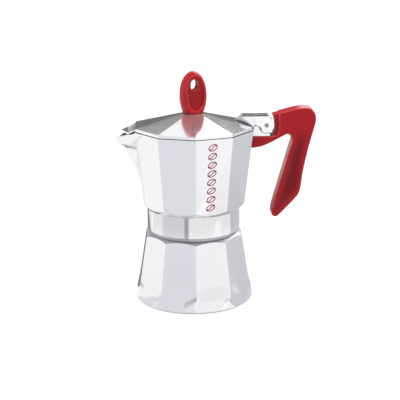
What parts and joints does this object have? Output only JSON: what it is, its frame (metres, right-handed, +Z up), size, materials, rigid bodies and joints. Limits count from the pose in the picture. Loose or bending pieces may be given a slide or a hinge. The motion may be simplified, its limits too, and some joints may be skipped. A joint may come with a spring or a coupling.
{
  "type": "moka pot",
  "caption": "Stovetop coffee pot with a faceted boiler, a screw-on spouted collector, a hinged lid, a funnel, and a red handle and knob.",
  "frame": {"origin": "middle of the flat foot, on the pot's axis, at the height of what it stands on", "axes": "+Z up the pot's axis, +X towards the handle, -X towards the spout"},
  "size_m": [0.1463, 0.0922, 0.1711],
  "materials": {
    "cast_aluminium": "polished cast aluminium",
    "lid_aluminium": "polished cast aluminium",
    "sheet_aluminium": "satin pressed sheet",
    "red_plastic": "glossy moulded plastic",
    "brass": "turned",
    "steel": "plain",
    "seal": "matt"
  },
  "bodies": {
    "boiler": {"boiler": "cast_aluminium", "valve_body": "brass", "valve_washer": "seal", "valve_seat": "steel", "valve_spring": "steel"},
    "plunger": {"valve_plunger": "steel"},
    "funnel": {"funnel": "sheet_aluminium", "funnel_sieve": "steel"},
    "gasket": {"gasket": "seal"},
    "filter_plate": {"filter_plate": "steel"},
    "collector": {"collector": "cast_aluminium", "hinge_pin": "steel", "handle": "red_plastic", "handle_screw": "steel", "handle_washer": "steel"},
    "lid": {"lid": "lid_aluminium", "knob": "red_plastic", "knob_insert": "brass", "knob_screw": "steel", "knob_washer": "steel"}
  },
  "joints": [
    {"name": "valve_lift", "type": "slide", "parent": "boiler", "child": "plunger", "axis": [-0.309, 0.9511, 0], "range_m": [0, 0.0015], "stiffness_N_per_m": 600, "springref_m": -0.001, "deforming": ["valve_spring"]},
    {"name": "funnel_lift", "type": "slide", "parent": "boiler", "child": "funnel", "axis": [0, 0, 1], "range_m": [0, 0.07]},
    {"name": "collector_lift", "type": "slide", "parent": "funnel", "child": "gasket", "axis": [0, 0, 1], "range_m": [0, 0.045]},
    {"name": "thread_rise", "type": "slide", "parent": "gasket", "child": "filter_plate", "axis": [0, 0, 1], "range_m": [0, 0.00452]},
    {"name": "collector_turn", "type": "hinge", "parent": "filter_plate", "child": "collector", "pos_m": [0, 0, 0.06], "axis": [0, 0, 1], "range_deg": [0, 540]},
    {"name": "lid_hinge", "type": "hinge", "parent": "collector", "child": "lid", "pos_m": [0.05339, 0, 0.1316], "axis": [0, 1, 0], "range_deg": [0, 100]}
  ],
  "couplings": [
    {"joint": "thread_rise", "follows": "collector_turn", "m_per_rad": 0.00047746}
  ]
}
